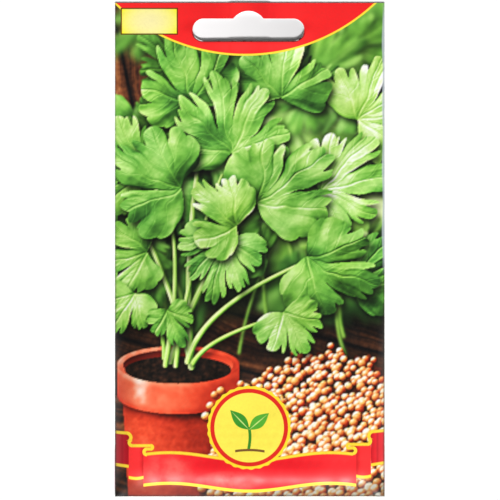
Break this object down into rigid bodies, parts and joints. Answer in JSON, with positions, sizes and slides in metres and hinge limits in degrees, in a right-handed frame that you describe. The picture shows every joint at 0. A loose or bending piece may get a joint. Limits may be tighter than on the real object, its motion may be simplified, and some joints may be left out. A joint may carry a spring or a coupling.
{
  "type": "seed packet",
  "caption": "Flat glossy paper seed packet for a garden herb, folded from one sheet and glued shut, with a hang slot in its header and loose coriander seeds inside.",
  "frame": {"origin": "middle of the packet's outline, on the surface that its back lies on", "axes": "+Z leaves the printed front, +Y runs from the folded bottom edge to the header with the hang slot, +X is to the right as the front is read"},
  "size_m": [0.0772, 0.1414, 0.0049],
  "materials": {
    "printed_paper": "gloss",
    "glue": "satin",
    "seed_husk": "matte"
  },
  "bodies": {
    "root": {"paper_sheet": "printed_paper", "seam_glue": "glue", "tab_glue": "glue", "top_glue": "glue", "seeds": "seed_husk"}
  },
  "joints": []
}
